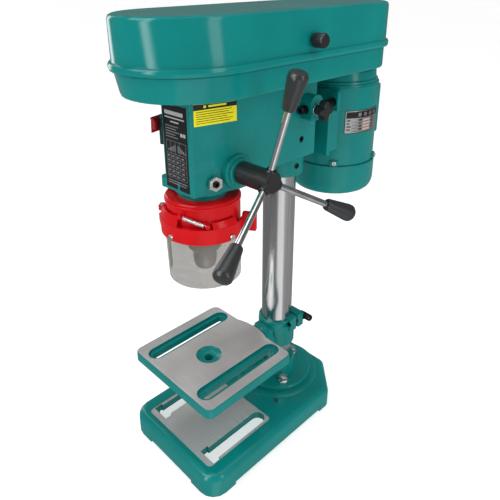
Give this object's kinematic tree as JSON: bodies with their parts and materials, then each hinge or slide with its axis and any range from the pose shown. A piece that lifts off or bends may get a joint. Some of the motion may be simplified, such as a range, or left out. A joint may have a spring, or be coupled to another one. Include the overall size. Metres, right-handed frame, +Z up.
{
  "type": "bench drill press",
  "caption": "Small bench pillar drill: belt drive under a hinged cover, rack-fed quill with keyed chuck and guard, three-spoke feed handle, tilting table and slotted base.",
  "frame": {"origin": "middle of the machine's box, on the bench top", "axes": "+Z up, -Y towards the operator, +X the operator's right, where the feed handle is"},
  "size_m": [0.2284, 0.4362, 0.598],
  "materials": {
    "enamel": "gloss green enamel on cast iron and sheet steel",
    "steel": "machined steel",
    "dark_steel": "blackened steel",
    "chrome": "polished",
    "black_plastic": "moulded, satin",
    "red_plastic": "moulded, glossy",
    "green_plastic": "moulded, satin",
    "clear_plastic": "clear moulded plastic, smooth",
    "aluminium": "cast and turned",
    "belt_rubber": "matt",
    "motor_iron": "laminated iron"
  },
  "bodies": {
    "frame": {"base": "enamel", "column_flange": "enamel", "flange_bolt_1": "steel", "flange_bolt_2": "steel", "flange_bolt_3": "steel", "column": "steel", "head_casting": "enamel", "head_set_screw": "dark_steel", "quill_guide_screw": "dark_steel", "quill_guide_nut": "steel", "return_spring_cap": "enamel", "guard_collar": "red_plastic", "guard_clamp_screw": "steel", "guard_hinge_pin": "steel", "guard_spring": "steel", "belt_pan": "enamel", "lid_hinge_1": "steel", "lid_hinge_2": "steel", "switch_box": "black_plastic", "drive_belt": "belt_rubber"},
    "table_carrier": {"table_bracket": "enamel", "tilt_bolt": "steel"},
    "tilting_table": {"table": "enamel"},
    "table_clamp": {"table_clamp_screw": "dark_steel"},
    "lid": {"belt_lid": "enamel"},
    "lid_latch": {"lid_knob": "black_plastic"},
    "motor": {"motor_body": "enamel", "motor_top_bell": "enamel", "motor_bottom_bell": "enamel", "capacitor_box": "enamel", "motor_mount_plate": "enamel", "slide_bar_left": "dark_steel", "slide_bar_right": "dark_steel"},
    "tension_lock": {"star_knob": "black_plastic"},
    "rotor": {"motor_rotor": "motor_iron", "motor_pulley": "aluminium"},
    "driven_pulley": {"spindle_pulley": "aluminium"},
    "quill_unit": {"quill": "steel", "quill_bearing": "steel"},
    "spindle_unit": {"spindle": "steel", "chuck_body": "steel"},
    "chuck_ring": {"chuck_sleeve": "steel"},
    "jaw_1": {"chuck_jaw_1": "dark_steel"},
    "jaw_2": {"chuck_jaw_2": "dark_steel"},
    "jaw_3": {"chuck_jaw_3": "dark_steel"},
    "feed_handle": {"feed_pinion_shaft": "steel", "feed_hub": "black_plastic", "feed_rod_1": "chrome", "feed_rod_2": "chrome", "feed_rod_3": "chrome", "feed_grip_1": "black_plastic", "feed_grip_2": "black_plastic", "feed_grip_3": "black_plastic"},
    "guard": {"guard_band": "red_plastic", "guard_shield": "clear_plastic", "guard_screw_1": "steel", "guard_screw_2": "steel"},
    "cover_flap": {"switch_flap": "red_plastic"},
    "start": {"start_button": "green_plastic"},
    "stop": {"stop_button": "red_plastic"}
  },
  "joints": [
    {"name": "table_lift", "type": "slide", "parent": "frame", "child": "table_carrier", "axis": [0, 0, 1], "range_m": [-0.015, 0.07]},
    {"name": "table_tilt", "type": "hinge", "parent": "table_carrier", "child": "tilting_table", "pos_m": [-0.0231, -0.0173, 0.112], "axis": [0, 1, 0], "range_deg": [-45, 45]},
    {"name": "table_clamp_turn", "type": "hinge", "parent": "table_carrier", "child": "table_clamp", "pos_m": [0.0049, 0.0419, 0.135], "axis": [0, 1, 0], "range_deg": [0, 180]},
    {"name": "lid_open", "type": "hinge", "parent": "frame", "child": "lid", "pos_m": [-0.1106, 0.0074, 0.541], "axis": [0, -1, 0], "range_deg": [0, 100]},
    {"name": "lid_knob_turn", "type": "hinge", "parent": "lid", "child": "lid_latch", "pos_m": [0.0549, -0.0136, 0.564], "axis": [1, 0, 0], "range_deg": [0, 90]},
    {"name": "motor_slide", "type": "slide", "parent": "frame", "child": "motor", "axis": [0, 1, 0], "range_m": [-0.012, 0]},
    {"name": "tension_knob_turn", "type": "hinge", "parent": "frame", "child": "tension_lock", "pos_m": [0.0369, 0.0234, 0.475], "axis": [1, 0, 0], "range_deg": [0, 360]},
    {"name": "motor_spin", "type": "hinge", "parent": "motor", "child": "rotor", "pos_m": [-0.0231, 0.1444, 0.45], "axis": [0, 0, 1], "continuous": true},
    {"name": "spindle_pulley_spin", "type": "hinge", "parent": "frame", "child": "driven_pulley", "pos_m": [-0.0231, -0.1176, 0.545], "axis": [0, 0, 1], "continuous": true},
    {"name": "quill_feed", "type": "slide", "parent": "frame", "child": "quill_unit", "axis": [0, 0, -1], "range_m": [0, 0.05], "stiffness_N_per_m": 150, "springref_m": -0.15},
    {"name": "feed_turn", "type": "hinge", "parent": "frame", "child": "feed_handle", "pos_m": [-0.0231, -0.0971, 0.421], "axis": [1, 0, 0], "range_deg": [0, 360]},
    {"name": "spindle_spin", "type": "hinge", "parent": "quill_unit", "child": "spindle_unit", "pos_m": [-0.0231, -0.1176, 0.42], "axis": [0, 0, 1], "continuous": true},
    {"name": "chuck_ring_turn", "type": "hinge", "parent": "spindle_unit", "child": "chuck_ring", "pos_m": [-0.0231, -0.1176, 0.32], "axis": [0, 0, 1], "range_deg": [0, 300]},
    {"name": "jaw_1_slide", "type": "slide", "parent": "spindle_unit", "child": "jaw_1", "axis": [0, 0.1392, 0.9903], "range_m": [0, 0.008]},
    {"name": "jaw_2_slide", "type": "slide", "parent": "spindle_unit", "child": "jaw_2", "axis": [-0.1205, -0.0696, 0.9903], "range_m": [0, 0.008]},
    {"name": "jaw_3_slide", "type": "slide", "parent": "spindle_unit", "child": "jaw_3", "axis": [0.1205, -0.0696, 0.9903], "range_m": [0, 0.008]},
    {"name": "guard_swing", "type": "hinge", "parent": "frame", "child": "guard", "pos_m": [-0.0801, -0.1381, 0.345], "axis": [0, 0, -1], "range_deg": [0, 100]},
    {"name": "switch_flap_lift", "type": "hinge", "parent": "frame", "child": "cover_flap", "pos_m": [-0.06072, -0.13837, 0.4825], "axis": [-0.2387, 0.9711, 0], "range_deg": [0, 100]},
    {"name": "start_press", "type": "slide", "parent": "frame", "child": "start", "axis": [0.9711, 0.2387, 0], "range_m": [0, 0.002], "stiffness_N_per_m": 300, "springref_m": -0.002},
    {"name": "stop_press", "type": "slide", "parent": "frame", "child": "stop", "axis": [0.9711, 0.2387, 0], "range_m": [0, 0.002], "stiffness_N_per_m": 300, "springref_m": -0.002}
  ],
  "couplings": [
    {"joint": "feed_turn", "follows": "quill_feed", "rad_per_m": 125},
    {"joint": "spindle_pulley_spin", "follows": "motor_spin", "ratio": 1},
    {"joint": "spindle_spin", "follows": "motor_spin", "ratio": 1},
    {"joint": "jaw_1_slide", "follows": "chuck_ring_turn", "m_per_rad": 0.0015},
    {"joint": "jaw_2_slide", "follows": "chuck_ring_turn", "m_per_rad": 0.0015},
    {"joint": "jaw_3_slide", "follows": "chuck_ring_turn", "m_per_rad": 0.0015}
  ]
}
